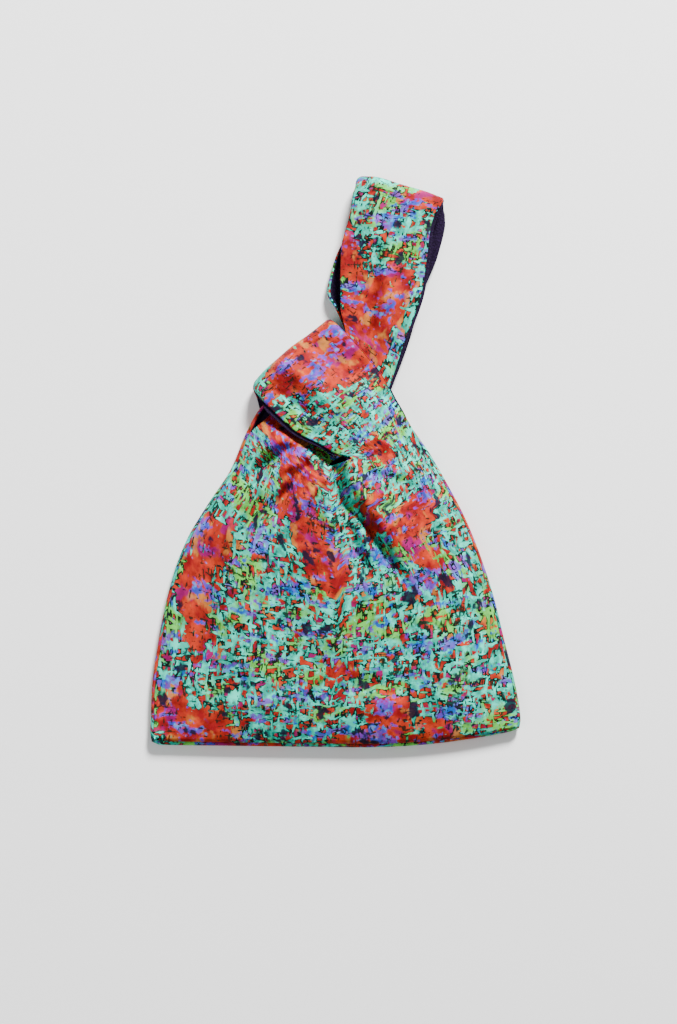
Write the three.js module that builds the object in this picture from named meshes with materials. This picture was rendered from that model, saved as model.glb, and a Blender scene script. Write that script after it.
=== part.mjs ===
// Knot bag of printed silk with a dark lining, lying on its back with the long handle pulled
// through the short one. X runs across the hem, Y from the hem to the handles, Z up.
import * as THREE from 'three';

// Driving sizes, in millimetres
const BASE_WIDTH = 261; // hem, from corner to corner
const BODY_HEIGHT = 201; // hem to the bottom of the neckline
const LONG_REACH = 200; // neckline to the top of the long handle
const LONG_WIDTH = 63; // long handle, pressed flat
const SHORT_WIDTH = 75; // short handle, pressed flat
const SHORT_ROOT = 29; // right side seam to the long handle, where the short one crosses it
const RING_SLACK = 15; // edge of the long handle to the turn of the short one
const PUFF = 32; // fullest part of the pouch above the surface that it lies on
const OUTER_WALL = 1.2;
const LINING_WALL = 1.0;
const LAYER_GAP = 0.3; // between the silk and its lining
const SEAM_GAP = 0.3; // between a front and a back panel where they are sewn together
const STRAP_GAP = 0.6; // between two straps that lie on each other
const HAND_GAP = 6; // between the halves of the long handle inside the short one
const SIDE_ROLL = 4; // radius of the rolled sides and hem
const LINING_PEEK = 1.5; // lining that shows past an open edge
const SEAM_ANGLE = 65; // how far up the roll the seam lies, in degrees
const UNROLL = 36; // length over which a rolled side flattens past the end of its seam
const FOLD_FADE = 26; // distance from the hem and the sides over which folds die out
const BACK_NECK_RISE = 4.5; // neckline of the back above that of the front
const SHORT_HEADING = 134; // direction of the short handle in plan, in degrees

// Fineness of the meshes
const ROLL_STEPS = 4;
const BRIDGE_STEPS = 2;
const BODY_ROWS = 11;
const OPENING_ROWS = 5;
const LONG_ROWS = 9;
const SHORT_ROWS = 3;
const TURN_STEPS = 4;
const HEM_ROWS = [7, 13, 20, 28]; // distances of the first rows from the hem
const EDGE_STEP = 0.002; // share of a strip over which the direction of its edge is taken
const FRONT_SPREAD = [0, 0.05, 0.12, 0.2, 0.3, 0.4, 0.5, 0.6, 0.7, 0.8, 0.9, 1];
const BACK_SPREAD = [0, 0.04, 0.09, 0.14, 0.19, 0.35, 0.55, 0.78, 1];

// Heights follow from the cloths that lie on each other, from the lowest strap up
const cloth = OUTER_WALL + LAYER_GAP + LINING_WALL;
const longBackLevel = cloth + STRAP_GAP;
const longFrontLevel = longBackLevel + HAND_GAP + 2 * cloth;
const shortFrontLevel = longFrontLevel + STRAP_GAP + cloth;

// The back rolls up round the side to the seam. Each step has its place in the full roll and the
// distance from the edge that it has when the cloth lies flat.
const rollTurn = THREE.MathUtils.degToRad(SEAM_ANGLE + 90);
const roll = Array.from({ length: ROLL_STEPS + 1 }, (_, step) => {
  const turned = rollTurn * (1 - step / ROLL_STEPS);
  return {
    inset: SIDE_ROLL * (1 - Math.sin(turned)),
    height: SIDE_ROLL * (1 - Math.cos(turned)),
    flat: SIDE_ROLL * (rollTurn - turned),
  };
});
const seam = roll[0];
const seamRise = Math.sin(THREE.MathUtils.degToRad(SEAM_ANGLE));
const seamRun = Math.cos(THREE.MathUtils.degToRad(SEAM_ANGLE));

// Ribs of the pouch from the hem up. Points are [across, up], as shares of BASE_WIDTH and BODY_HEIGHT.
// crown is a share of PUFF, dip lowers the long side at the neckline as a share of PUFF, bow drops
// the right half of the rib as a share of BODY_HEIGHT, and lift raises the back under the neckline.
const bodyRibs = [
  { left: [-0.498, 0.006], midLeft: [0.001, -0.002], midRight: [0.017, -0.002], right: [0.498, 0.06],
    crown: 0, dip: 0, bow: 0.02, lift: 0 },
  { left: [-0.492, 0.07], midLeft: [0.001, 0.062], midRight: [0.017, 0.062], right: [0.497, 0.1],
    crown: 0.2, dip: 0, bow: 0.015, lift: 0 },
  { left: [-0.489, 0.19], midLeft: [0.001, 0.179], midRight: [0.017, 0.179], right: [0.487, 0.19],
    crown: 0.38, dip: 0, bow: 0.006, lift: 0 },
  { left: [-0.468, 0.386], midLeft: [0.004, 0.386], midRight: [0.02, 0.386], right: [0.452, 0.379],
    crown: 0.58, dip: 0, bow: 0, lift: 0 },
  { left: [-0.434, 0.583], midLeft: [0.004, 0.552], midRight: [0.025, 0.552], right: [0.426, 0.517],
    crown: 0.76, dip: 0, bow: 0, lift: 0 },
  { left: [-0.394, 0.721], midLeft: [0.001, 0.703], midRight: [0.031, 0.697], right: [0.386, 0.676],
    crown: 0.9, dip: 0, bow: 0, lift: 0 },
  { left: [-0.339, 0.841], midLeft: [-0.004, 0.807], midRight: [0.036, 0.807], right: [0.349, 0.793],
    crown: 1, dip: 0.02, bow: 0, lift: 0 },
  { left: [-0.276, 0.966], midLeft: [-0.009, 0.893], midRight: [0.041, 0.903], right: [0.306, 0.9],
    crown: 1, dip: 0.07, bow: 0, lift: 0.35 },
  { left: [-0.235, 1.093], midLeft: [-0.015, 0.972], midRight: [0.044, 0.997], right: [0.259, 1.007],
    crown: 0.92, dip: 0.16, bow: 0, lift: 1 },
];

// Ribs of the long handle from the neckline to its top. across and up place the middle, as shares of
// LONG_REACH from the throat, turn is the slope of the rib in degrees, width a share of LONG_WIDTH.
// edge, middle and inner are heights above the handle's level in the knot, as shares of PUFF.
const longFrontRibs = [
  { across: -0.125, up: 0.115, turn: -28, width: 1.087, edge: 0, middle: 0.1, inner: 0.1 },
  { across: -0.014, up: 0.217, turn: -33.5, width: 0.947, edge: -0.03, middle: 0, inner: 0 },
  { across: 0.094, up: 0.351, turn: -48.5, width: 0.74, edge: -0.02, middle: 0, inner: -0.02 },
  { across: 0.118, up: 0.477, turn: -27.3, width: 0.767, edge: -0.02, middle: 0.09, inner: -0.02 },
  { across: 0.148, up: 0.606, turn: -6.3, width: 0.869, edge: -0.02, middle: 0.15, inner: -0.03 },
  { across: 0.165, up: 0.719, turn: -7, width: 0.87, edge: -0.02, middle: 0.15, inner: -0.02 },
  { across: 0.182, up: 0.842, turn: -6.3, width: 0.869, edge: -0.02, middle: 0.13, inner: -0.02 },
  { across: 0.213, up: 0.96, turn: -15.3, width: 0.99, edge: 0.06, middle: 0.1, inner: 0.06 },
];

// The back half of the long handle, with level as a share of its height in the knot
const longBackRibs = [
  { across: -0.125, up: 0.115, turn: -28, width: 1.087, level: 1 },
  { across: -0.01, up: 0.217, turn: -32.8, width: 0.964, level: 1 },
  { across: 0.095, up: 0.354, turn: -46.8, width: 0.731, level: 1 },
  { across: 0.108, up: 0.477, turn: -23.5, width: 0.86, level: 0.95 },
  { across: 0.122, up: 0.59, turn: -2.4, width: 1.002, level: 0.3 },
  { across: 0.163, up: 0.715, turn: 0, width: 1.066, level: 0 },
  { across: 0.191, up: 0.826, turn: -2.3, width: 1.045, level: 0 },
  { across: 0.213, up: 0.96, turn: -15.3, width: 0.99, level: 0 },
];

// Ribs of the short handle from the right side seam to its turn. along is a share of the way from
// the neckline rib to the turn, reveal widens the back half past the front as a share of SHORT_WIDTH.
const shortRibs = [
  { along: 0.159, turn: 20.6, width: 0.76, edge: -0.13, middle: 0.38, inner: 0.36, reveal: -0.08 },
  { along: 0.332, turn: 31.3, width: 0.81, edge: -0.02, middle: 0.36, inner: 0.28, reveal: -0.03 },
  { along: 0.491, turn: 34.6, width: 0.945, edge: 0, middle: 0.34, inner: 0.2, reveal: 0.01 },
  { along: 0.67, turn: 34.7, width: 0.99, edge: 0, middle: 0.31, inner: 0.12, reveal: 0.03 },
  { along: 0.843, turn: 37, width: 1, edge: 0, middle: 0.24, inner: 0.06, reveal: 0.05 },
  { along: 1, turn: 41.5, width: 0.98, edge: 0, middle: 0.1, inner: 0, reveal: 0 },
];
const CROSSING_RIB = 1; // rib of the long handle that the short one goes round

// Folds of the front. Ends are [across, up], as shares of BASE_WIDTH and BODY_HEIGHT on the pouch and
// of LONG_REACH from the throat on the handles. spread is half the width and rise the height, both
// as shares of PUFF, and a negative rise is a valley.
const bodyFolds = [
  { from: [-0.12, 1.03], to: [-0.29, 0.855], spread: 0.32, rise: -0.1 },
  { from: [-0.05, 1.0], to: [-0.16, 0.85], spread: 0.34, rise: -0.1 },
  { from: [0.0, 0.95], to: [0.2, 0.56], spread: 0.42, rise: -0.17 },
  { from: [-0.13, 1.07], to: [-0.235, 0.95], spread: 0.28, rise: 0.09 },
  { from: [-0.19, 0.92], to: [-0.285, 0.83], spread: 0.26, rise: 0.06 },
  { from: [-0.015, 0.9], to: [0.05, 0.59], spread: 0.38, rise: 0.07 },
  { from: [0.06, 0.88], to: [0.25, 0.66], spread: 0.5, rise: 0.12 },
];
const longFolds = [
  { from: [0.083, 0.38], to: [0.128, 0.8], spread: 0.28, rise: -0.13 },
];

// A smooth curve through values at rising stops that never swings past them
function limitedCubic(stops, values) {
  const last = stops.length - 1;
  const chords = stops.slice(1).map((stop, i) => (values[i + 1] - values[i]) / (stop - stops[i]));
  const slopes = values.map((_, i) => {
    const before = chords[Math.max(i - 1, 0)];
    const after = chords[Math.min(i, last - 1)];
    return before * after > 0 ? (2 * before * after) / (before + after) : 0;
  });
  return (at) => {
    const next = stops.findIndex((stop, i) => i > 0 && at <= stop);
    const i = next < 0 ? last - 1 : next - 1;
    const step = stops[i + 1] - stops[i];
    const f = (at - stops[i]) / step;
    const rise = 3 * f * f - 2 * f * f * f;
    const leaving = f * (1 - f) * (1 - f) * step * slopes[i];
    const arriving = f * f * (f - 1) * step * slopes[i + 1];
    return values[i] + rise * (values[i + 1] - values[i]) + leaving + arriving;
  };
}

function smoothStep(f) {
  const held = THREE.MathUtils.clamp(f, 0, 1);
  return held * held * (3 - 2 * held);
}

const onBody = ([across, up]) => new THREE.Vector2(across * BASE_WIDTH, up * BODY_HEIGHT);
const lastBody = bodyRibs[bodyRibs.length - 1];
const throat = onBody(lastBody.midLeft).add(onBody(lastBody.midRight)).multiplyScalar(0.5);
const onLong = ([across, up]) => new THREE.Vector2(across, up).multiplyScalar(LONG_REACH).add(throat);

// Body rows are counted from 0 at the hem to 1 at the neckline, and handle rows go on from there
const ribHeight = (rib) => ((rib.left[1] + rib.right[1]) / 2) * BODY_HEIGHT;
const bodySpan = ribHeight(lastBody) - ribHeight(bodyRibs[0]);
const bodyStops = bodyRibs.map((rib) => (ribHeight(rib) - ribHeight(bodyRibs[0])) / bodySpan);

const NODES = [0, 0.25, 0.5, 0.75, 1]; // places across a strip where its height is given
const ARCH_POWER = 2.6; // fullness of the pouch towards its sides

// Height of the pouch over a rib, at a share from the side seam to the neckline's side
function frontHeights(rib, inner, outer, isLong) {
  const whole = onBody(rib.left).distanceTo(onBody(rib.right));
  const reach = onBody(inner).distanceTo(onBody(outer)) / whole;
  return NODES.map((node) => {
    const arch = 1 - Math.pow(Math.abs(1 - 2 * reach * node), ARCH_POWER);
    const drop = isLong ? rib.dip * PUFF * node * node : 0;
    return seam.height + rib.crown * (PUFF - seam.height) * arch - drop;
  });
}

function bodyStrip(isLong, isFront) {
  return bodyRibs.map((rib) => {
    const outer = isLong ? rib.left : rib.right;
    const inner = isLong ? rib.midLeft : rib.midRight;
    const lift = isLong ? rib.lift * longBackLevel : 0;
    const rise = isFront ? 0 : rib.lift * BACK_NECK_RISE;
    return {
      outer: onBody(outer),
      inner: onBody(inner).add(new THREE.Vector2(0, rise)),
      bow: isLong ? 0 : rib.bow * BODY_HEIGHT,
      heights: isFront
        ? frontHeights(rib, inner, outer, isLong)
        : NODES.map((node) => (node > 0 ? lift : 0)),
    };
  });
}

// Ends of a rib from its middle, slope and width; the long handle's outer edge is its left one
function ribEnds(middle, turn, width) {
  const slope = THREE.MathUtils.degToRad(turn);
  const half = new THREE.Vector2(Math.cos(slope), Math.sin(slope)).multiplyScalar(width / 2);
  return { left: middle.clone().sub(half), right: middle.clone().add(half) };
}

// Heights across a handle from its two edges and its middle
function handleHeights(level, edge, middle, inner) {
  const across = limitedCubic([0, 0.5, 1], [edge, middle, inner]);
  return NODES.map((node) => level + across(node) * PUFF);
}

function longHandle(ribs, heightsOf) {
  return ribs.map((rib) => {
    const ends = ribEnds(onLong([rib.across, rib.up]), rib.turn, rib.width * LONG_WIDTH);
    return { outer: ends.left, inner: ends.right, bow: 0, heights: heightsOf(rib) };
  });
}

// The short handle is long enough to pass round the long one at the rib where they cross
const shortReach = SHORT_ROOT + longFrontRibs[CROSSING_RIB].width * LONG_WIDTH + RING_SLACK;
const shortStart = onBody(lastBody.midRight).add(onBody(lastBody.right)).multiplyScalar(0.5);
const shortHeading = THREE.MathUtils.degToRad(SHORT_HEADING);

function shortHandle(isFront) {
  return shortRibs.map((rib) => {
    const reach = rib.along * shortReach;
    const middle = shortStart.clone();
    middle.x += Math.cos(shortHeading) * reach;
    middle.y += Math.sin(shortHeading) * reach;
    const ends = ribEnds(middle, rib.turn, rib.width * SHORT_WIDTH);
    if (!isFront) {
      const out = ends.left.clone().sub(ends.right).normalize();
      ends.left.addScaledVector(out, rib.reveal * SHORT_WIDTH);
    }
    return {
      outer: ends.right,
      inner: ends.left,
      bow: 0,
      heights: isFront
        ? handleHeights(shortFrontLevel, rib.edge, rib.middle, rib.inner)
        : NODES.map(() => 0),
    };
  });
}

// Distances along a strip, which the front and the back share so that their seams meet
function stripStops(ribs) {
  const stops = [...bodyStops];
  for (let i = stops.length; i < ribs.length; i += 1) {
    const here = ribs[i].outer.clone().add(ribs[i].inner);
    const before = ribs[i - 1].outer.clone().add(ribs[i - 1].inner);
    stops.push(stops[i - 1] + here.distanceTo(before) / 2 / bodySpan);
  }
  return stops;
}

// A strip is half of the pouch with its handle: it runs from the hem to the handle's seam
function makeStrip(ribs, stops, folds) {
  const follow = (pick) => limitedCubic(stops, ribs.map(pick));
  const outer = [follow((rib) => rib.outer.x), follow((rib) => rib.outer.y)];
  const inner = [follow((rib) => rib.inner.x), follow((rib) => rib.inner.y)];
  return {
    end: stops[stops.length - 1],
    outer: (along) => new THREE.Vector2(outer[0](along), outer[1](along)),
    inner: (along) => new THREE.Vector2(inner[0](along), inner[1](along)),
    bow: follow((rib) => rib.bow),
    heights: NODES.map((_, n) => follow((rib) => rib.heights[n])),
    folds,
  };
}

// The point of a strip at a distance in from its outer edge
function stripPoint(strip, along, distance) {
  const outer = strip.outer(along);
  const inner = strip.inner(along);
  const share = distance / outer.distanceTo(inner);
  const plan = outer.lerp(inner, share);
  const bow = strip.bow(along) * 4 * share * (1 - share);
  const height = limitedCubic(NODES, strip.heights.map((curve) => curve(along)))(share);
  return new THREE.Vector3(plan.x, plan.y - bow, height);
}

const stripWidth = (strip, along) => strip.outer(along).distanceTo(strip.inner(along));

// How far the side keeps its roll: 1 along the side seam, 0 where it lies flat past the seam's end
function closedness(along) {
  return 1 - smoothStep(((along - 1) * bodySpan) / UNROLL);
}

// Height that the folds add at a point: each is a smooth ridge or valley along a line
function foldRise(folds, x, y) {
  const here = new THREE.Vector2(x, y);
  return folds.reduce((sum, fold) => {
    const run = fold.to.clone().sub(fold.from);
    const length = run.length();
    const offset = here.clone().sub(fold.from);
    const along = offset.dot(run) / length;
    const aside = offset.cross(run) / length;
    const spread = fold.spread * PUFF;
    const beyond = Math.max(0, -along, along - length);
    return sum + fold.rise * PUFF * Math.exp(-(aside * aside + beyond * beyond) / (spread * spread));
  }, 0);
}

const placeFolds = (table, place) =>
  table.map((fold) => ({ ...fold, from: place(fold.from), to: place(fold.to) }));
const pouchFolds = placeFolds(bodyFolds, onBody);
const handleFolds = placeFolds(longFolds, onLong);

// The end of a handle turns over to its seam: heights fall to the seam along a quarter circle
function turnOver(strip, along, height, seamHeight) {
  const left = ((strip.end - along) * bodySpan) / seamHeight;
  const reach = Math.min(1, Math.max(0, left));
  return seamHeight + (height - seamHeight) * Math.sqrt(1 - (1 - reach) * (1 - reach));
}

const longSeamHeight = (longFrontLevel + longFrontRibs[longFrontRibs.length - 1].edge * PUFF) / 2;
const shortSeamHeight = shortFrontLevel / 2;

const frontLongRibs = [
  ...bodyStrip(true, true),
  ...longHandle(longFrontRibs, (rib) => handleHeights(longFrontLevel, rib.edge, rib.middle, rib.inner)),
];
const backLongRibs = [
  ...bodyStrip(true, false),
  ...longHandle(longBackRibs, (rib) => NODES.map(() => rib.level * longBackLevel)),
];
const frontShortRibs = [...bodyStrip(false, true), ...shortHandle(true)];
const backShortRibs = [...bodyStrip(false, false), ...shortHandle(false)];
const longStops = stripStops(frontLongRibs);
const shortStops = stripStops(frontShortRibs);
const frontLong = makeStrip(frontLongRibs, longStops, [...pouchFolds, ...handleFolds]);
const frontShort = makeStrip(frontShortRibs, shortStops, pouchFolds);
const backLong = makeStrip(backLongRibs, longStops, []);
const backShort = makeStrip(backShortRibs, shortStops, []);

const foldFade = (along, distance) =>
  smoothStep((along * bodySpan) / FOLD_FADE) * smoothStep(distance / FOLD_FADE);

// A point of the front, at a share from the side seam to the neckline's side. Its edge stays
// behind the rolled edge of the back until that lies flat.
function frontPoint(strip, along, share) {
  const inset = seam.inset * closedness(along - UNROLL / bodySpan);
  const distance = inset + share * (stripWidth(strip, along) - inset);
  const point = stripPoint(strip, along, distance);
  if (along <= 1 && share === 0) {
    point.z = seam.height;
  }
  const fade = along <= 1 ? foldFade(along, distance) : 1;
  point.z += fade * foldRise(strip.folds, point.x, point.y);
  return point;
}

// A point of the back's handles: the outer columns keep some of the roll of the side for a while
function backPoint(strip, along, column) {
  const closed = closedness(along);
  const edge = column <= ROLL_STEPS ? roll[column] : null;
  const distance = edge
    ? THREE.MathUtils.lerp(edge.flat, edge.inset, closed)
    : BACK_SPREAD[column] * stripWidth(strip, along);
  const point = stripPoint(strip, along, distance);
  point.z += edge ? edge.height * closed : 0;
  return point;
}

// Rows of the pouch, from the hem's seam to the neckline
const upperRows = Array.from({ length: BODY_ROWS }, (_, i) => {
  const first = HEM_ROWS[HEM_ROWS.length - 1] / bodySpan;
  return first + ((i + 1) * (1 - first)) / BODY_ROWS;
});
const bodyRows = [seam.inset / bodySpan, ...HEM_ROWS.map((row) => row / bodySpan), ...upperRows];

// Rows of a handle, closer together where its side opens and where its end turns over
function handleRows(strip, seamHeight, count) {
  const turn = seamHeight / bodySpan;
  const opening = UNROLL / bodySpan;
  const first = Array.from({ length: OPENING_ROWS }, (_, i) => 1 + ((i + 1) * opening) / OPENING_ROWS);
  const plain = Array.from({ length: count }, (_, i) => {
    const rest = strip.end - turn - 1 - opening;
    return 1 + opening + ((i + 1) * rest) / count;
  });
  const turned = Array.from({ length: TURN_STEPS }, (_, i) => {
    const angle = ((i + 1) * Math.PI) / 2 / TURN_STEPS;
    return strip.end - turn * (1 - Math.sin(angle));
  });
  return [...first, ...plain, ...turned];
}
const longRows = handleRows(frontLong, longSeamHeight, LONG_ROWS);
const shortRows = handleRows(frontShort, shortSeamHeight, SHORT_ROWS);

// Outward direction in plan of an edge, square to a step along it
function outward(curve, along, sign) {
  const run = curve(along + EDGE_STEP).sub(curve(along - EDGE_STEP));
  return new THREE.Vector2(run.y, -run.x).multiplyScalar(sign).normalize();
}

// A sheet is the outer skin of a panel: points, directions fixed at seams, and quads
function newSheet() {
  return { points: [], fixed: [], quads: [], openEdges: [] };
}

function addPoint(sheet, point, direction = null) {
  sheet.points.push(point);
  sheet.fixed.push(direction);
  return sheet.points.length - 1;
}

// At a seam the skin's direction is shared by both panels, and each stands half the gap back
function seamPoint(sheet, point, flat, rise, gapSide) {
  const direction = new THREE.Vector3(flat.x * seamRun, flat.y * seamRun, rise);
  const length = flat.length();
  const back = new THREE.Vector3((-flat.x / length) * seamRise, (-flat.y / length) * seamRise, seamRun);
  point.addScaledVector(back, (gapSide * SEAM_GAP) / 2);
  return addPoint(sheet, point, direction);
}

function buildSheet(isFront) {
  const sheet = newSheet();
  const long = isFront ? frontLong : backLong;
  const short = isFront ? frontShort : backShort;
  const spread = isFront ? FRONT_SPREAD : BACK_SPREAD;
  const gapSide = isFront ? 1 : -1;
  const last = spread.length - 1;

  const hemOutward = (strip, share, sign) => {
    const hem = (at) => {
      const point = stripPoint(strip, 0, at * stripWidth(strip, 0));
      return new THREE.Vector2(point.x, point.y);
    };
    return outward(hem, THREE.MathUtils.clamp(share, EDGE_STEP, 1 - EDGE_STEP), sign);
  };
  const mitre = (first, second) =>
    first.clone().add(second).multiplyScalar(1 / (1 + first.dot(second)));

  // A point of the pouch's back: near a corner the rolls of the side and the hem meet in a mitre
  const backBody = (strip, row, column) => {
    const onHem = row <= column && row <= ROLL_STEPS;
    const onSide = column <= row && column <= ROLL_STEPS;
    const along = onHem ? roll[row].inset / bodySpan : bodyRows[row];
    const distance = onSide ? roll[column].inset : spread[column] * stripWidth(strip, along);
    const point = stripPoint(strip, along, distance);
    point.z += onHem || onSide ? roll[Math.min(row, column)].height : 0;
    return point;
  };

  const bodyPoint = (strip, isLong, row, column) => {
    const point = isFront
      ? frontPoint(strip, bodyRows[row], spread[column])
      : backBody(strip, row, column);
    if (row > 0 && column > 0) {
      return addPoint(sheet, point);
    }
    const side = outward(strip.outer, Math.max(bodyRows[row], EDGE_STEP), isLong ? -1 : 1);
    const below = hemOutward(strip, spread[column], isLong ? 1 : -1);
    const straight = row === 0 ? below : side;
    const flat = row === 0 && column === 0 ? mitre(side, below) : straight;
    point.z = seam.height;
    return seamPoint(sheet, point, flat, seamRise, gapSide);
  };

  const longColumns = spread.map((_, i) => i);
  const bodyGrid = bodyRows.map((along, row) => {
    const left = longColumns.map((column) => bodyPoint(long, true, row, column));
    const right = longColumns.map((column) => bodyPoint(short, false, row, column)).reverse();
    const from = sheet.points[left[last]];
    const to = sheet.points[right[0]];
    const bridge = Array.from({ length: BRIDGE_STEPS - 1 }, (_, i) => {
      const point = from.clone().lerp(to, (i + 1) / BRIDGE_STEPS);
      return addPoint(sheet, point, row === 0 ? sheet.fixed[left[last]].clone() : null);
    });
    return [...left, ...bridge, ...right];
  });

  const growHandle = (strip, seamHeight, rows, base, flip) => {
    const grid = [base];
    rows.forEach((along, i) => {
      const atSeam = i === rows.length - 1;
      const ids = longColumns.map((column) => {
        const point = isFront ? frontPoint(strip, along, spread[column]) : backPoint(strip, along, column);
        point.z = turnOver(strip, along, point.z, seamHeight);
        if (!atSeam) {
          return addPoint(sheet, point);
        }
        const run = strip.inner(strip.end).sub(strip.outer(strip.end)).normalize();
        const flat = new THREE.Vector3(run.y * flip, -run.x * flip, 0);
        point.z = seamHeight + (gapSide * SEAM_GAP) / 2;
        return addPoint(sheet, point, flat);
      });
      grid.push(flip < 0 ? ids : ids.reverse());
    });
    return grid;
  };
  const width = bodyGrid[0].length;
  const neckRow = bodyGrid[bodyGrid.length - 1];
  const longGrid = growHandle(long, longSeamHeight, longRows, neckRow.slice(0, last + 1), -1);
  const shortGrid = growHandle(short, shortSeamHeight, shortRows, neckRow.slice(width - last - 1), 1);

  [bodyGrid, longGrid, shortGrid].forEach((grid) => {
    for (let row = 0; row + 1 < grid.length; row += 1) {
      for (let column = 0; column + 1 < grid[0].length; column += 1) {
        const low = grid[row];
        const high = grid[row + 1];
        const quad = [low[column], low[column + 1], high[column + 1], high[column]];
        sheet.quads.push(isFront ? quad : quad.reverse());
      }
    }
  });

  // Open edges, each with its neighbours inside the cloth and how far the lining shows along it
  [[longGrid, longRows], [shortGrid, shortRows]].forEach(([grid, rows]) => {
    const shown = [0, ...rows.map((along) => 1 - closedness(along))];
    const edgeAt = (edge, inside) => ({
      edge: grid.map((ids) => ids[edge]),
      inside: grid.map((ids) => ids[inside]),
      shown,
      reversed: isFront === (edge === 0),
    });
    sheet.openEdges.push(edgeAt(0, 1), edgeAt(last, last - 1));
  });
  return sheet;
}

// Directions of the skin, from the faces round each point
function skinDirections(sheet) {
  const sums = sheet.points.map(() => new THREE.Vector3());
  sheet.quads.forEach((quad) => {
    const [a, b, c, d] = quad.map((id) => sheet.points[id]);
    const area = c.clone().sub(a).cross(d.clone().sub(b));
    quad.forEach((id) => sums[id].add(area));
  });
  return sums.map((sum, id) => sheet.fixed[id] ?? sum.normalize());
}

// The lining goes a little past the silk at every open edge, as a narrow strip along it
function withLiningEdges(sheet) {
  const fixed = skinDirections(sheet);
  const points = [...sheet.points];
  const quads = [...sheet.quads];
  sheet.openEdges.forEach(({ edge, inside, shown, reversed }) => {
    const past = edge.map((id, row) => {
      if (shown[row] === 0) {
        return id;
      }
      const out = points[id].clone().sub(points[inside[row]]);
      out.addScaledVector(fixed[id], -out.dot(fixed[id])).normalize();
      points.push(points[id].clone().addScaledVector(out, LINING_PEEK * shown[row]));
      fixed.push(fixed[id]);
      return points.length - 1;
    });
    for (let row = 0; row + 1 < edge.length; row += 1) {
      const strip = [edge[row], past[row], past[row + 1], edge[row + 1]];
      quads.push(reversed ? strip.reverse() : strip);
    }
  });
  return { points, fixed, quads };
}

// One cloth of a panel: the skin moved in to two depths, closed by a rim
function clothGeometry(sheet, depth, wall) {
  const directions = skinDirections(sheet);
  const { points } = sheet;
  const faceAt = (inward) =>
    points.map((point, id) => point.clone().addScaledVector(directions[id], -inward));
  const vertices = [...faceAt(depth), ...faceAt(depth + wall)];
  const count = points.length;
  const faces = [];
  const edges = new Map();
  const key = (a, b) => `${a}_${b}`;
  sheet.quads.forEach(([a, b, c, d]) => {
    const shortAcross = points[a].distanceTo(points[c]) <= points[b].distanceTo(points[d]);
    const halves = shortAcross ? [[a, b, c], [a, c, d]] : [[a, b, d], [b, c, d]];
    halves.filter((half) => new Set(half).size === 3).forEach(([p, q, r]) => {
      faces.push([p, q, r], [p + count, r + count, q + count]);
      [[p, q], [q, r], [r, p]].forEach(([from, to]) => edges.set(key(from, to), [from, to]));
    });
  });
  edges.forEach(([from, to]) => {
    if (!edges.has(key(to, from))) {
      faces.push([to, from, from + count], [to, from + count, to + count]);
    }
  });
  const geometry = new THREE.BufferGeometry();
  const positions = vertices.flatMap((vertex) => vertex.toArray());
  geometry.setAttribute('position', new THREE.Float32BufferAttribute(positions, 3));
  geometry.setIndex(faces.flat());
  geometry.computeVertexNormals();
  return geometry;
}

const silk = { color: 0x4fb89a, roughness: 0.45, metalness: 0 };
const velvet = { color: 0x2a1633, roughness: 0.9, metalness: 0 };

function clothMesh(name, finish, geometry) {
  const material = new THREE.MeshStandardMaterial({ ...finish, name: `${name}_cloth` });
  const mesh = new THREE.Mesh(geometry, material);
  mesh.name = name;
  return mesh;
}

const group = new THREE.Group();
group.name = 'knot_bag';
const frontSheet = buildSheet(true);
const backSheet = buildSheet(false);
const liningGeometry = (sheet) =>
  clothGeometry(withLiningEdges(sheet), OUTER_WALL + LAYER_GAP, LINING_WALL);
group.add(
  clothMesh('outer_front_panel', silk, clothGeometry(frontSheet, 0, OUTER_WALL)),
  clothMesh('outer_back_panel', silk, clothGeometry(backSheet, 0, OUTER_WALL)),
  clothMesh('lining_front_panel', velvet, liningGeometry(frontSheet)),
  clothMesh('lining_back_panel', velvet, liningGeometry(backSheet)),
);

// The origin is on the surface that the bag lies on, under the middle of its box
const bounds = new THREE.Box3().setFromObject(group);
const centre = bounds.getCenter(new THREE.Vector3());
group.position.set(-centre.x, -centre.y, -bounds.min.z);

export default group;
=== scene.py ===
import math

import bpy
import numpy as np
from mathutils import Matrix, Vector


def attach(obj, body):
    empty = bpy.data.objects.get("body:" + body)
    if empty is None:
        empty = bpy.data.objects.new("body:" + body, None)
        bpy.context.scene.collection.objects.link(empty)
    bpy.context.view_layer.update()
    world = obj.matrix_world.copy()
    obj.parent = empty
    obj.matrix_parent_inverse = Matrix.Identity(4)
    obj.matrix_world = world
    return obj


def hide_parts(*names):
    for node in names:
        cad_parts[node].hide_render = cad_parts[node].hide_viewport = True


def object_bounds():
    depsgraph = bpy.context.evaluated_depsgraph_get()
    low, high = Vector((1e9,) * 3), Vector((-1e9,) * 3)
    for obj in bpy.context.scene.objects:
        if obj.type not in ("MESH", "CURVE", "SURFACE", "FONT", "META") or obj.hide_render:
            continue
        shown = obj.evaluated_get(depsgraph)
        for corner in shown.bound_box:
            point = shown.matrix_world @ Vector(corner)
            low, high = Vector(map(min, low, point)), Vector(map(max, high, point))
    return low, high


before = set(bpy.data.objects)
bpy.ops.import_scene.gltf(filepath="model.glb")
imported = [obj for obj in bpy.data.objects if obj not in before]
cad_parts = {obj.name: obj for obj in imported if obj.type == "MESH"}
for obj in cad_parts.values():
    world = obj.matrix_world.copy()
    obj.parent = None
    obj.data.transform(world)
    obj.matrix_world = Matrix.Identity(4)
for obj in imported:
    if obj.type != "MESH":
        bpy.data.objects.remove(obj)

cad_box = [list(corner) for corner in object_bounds()]

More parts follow.
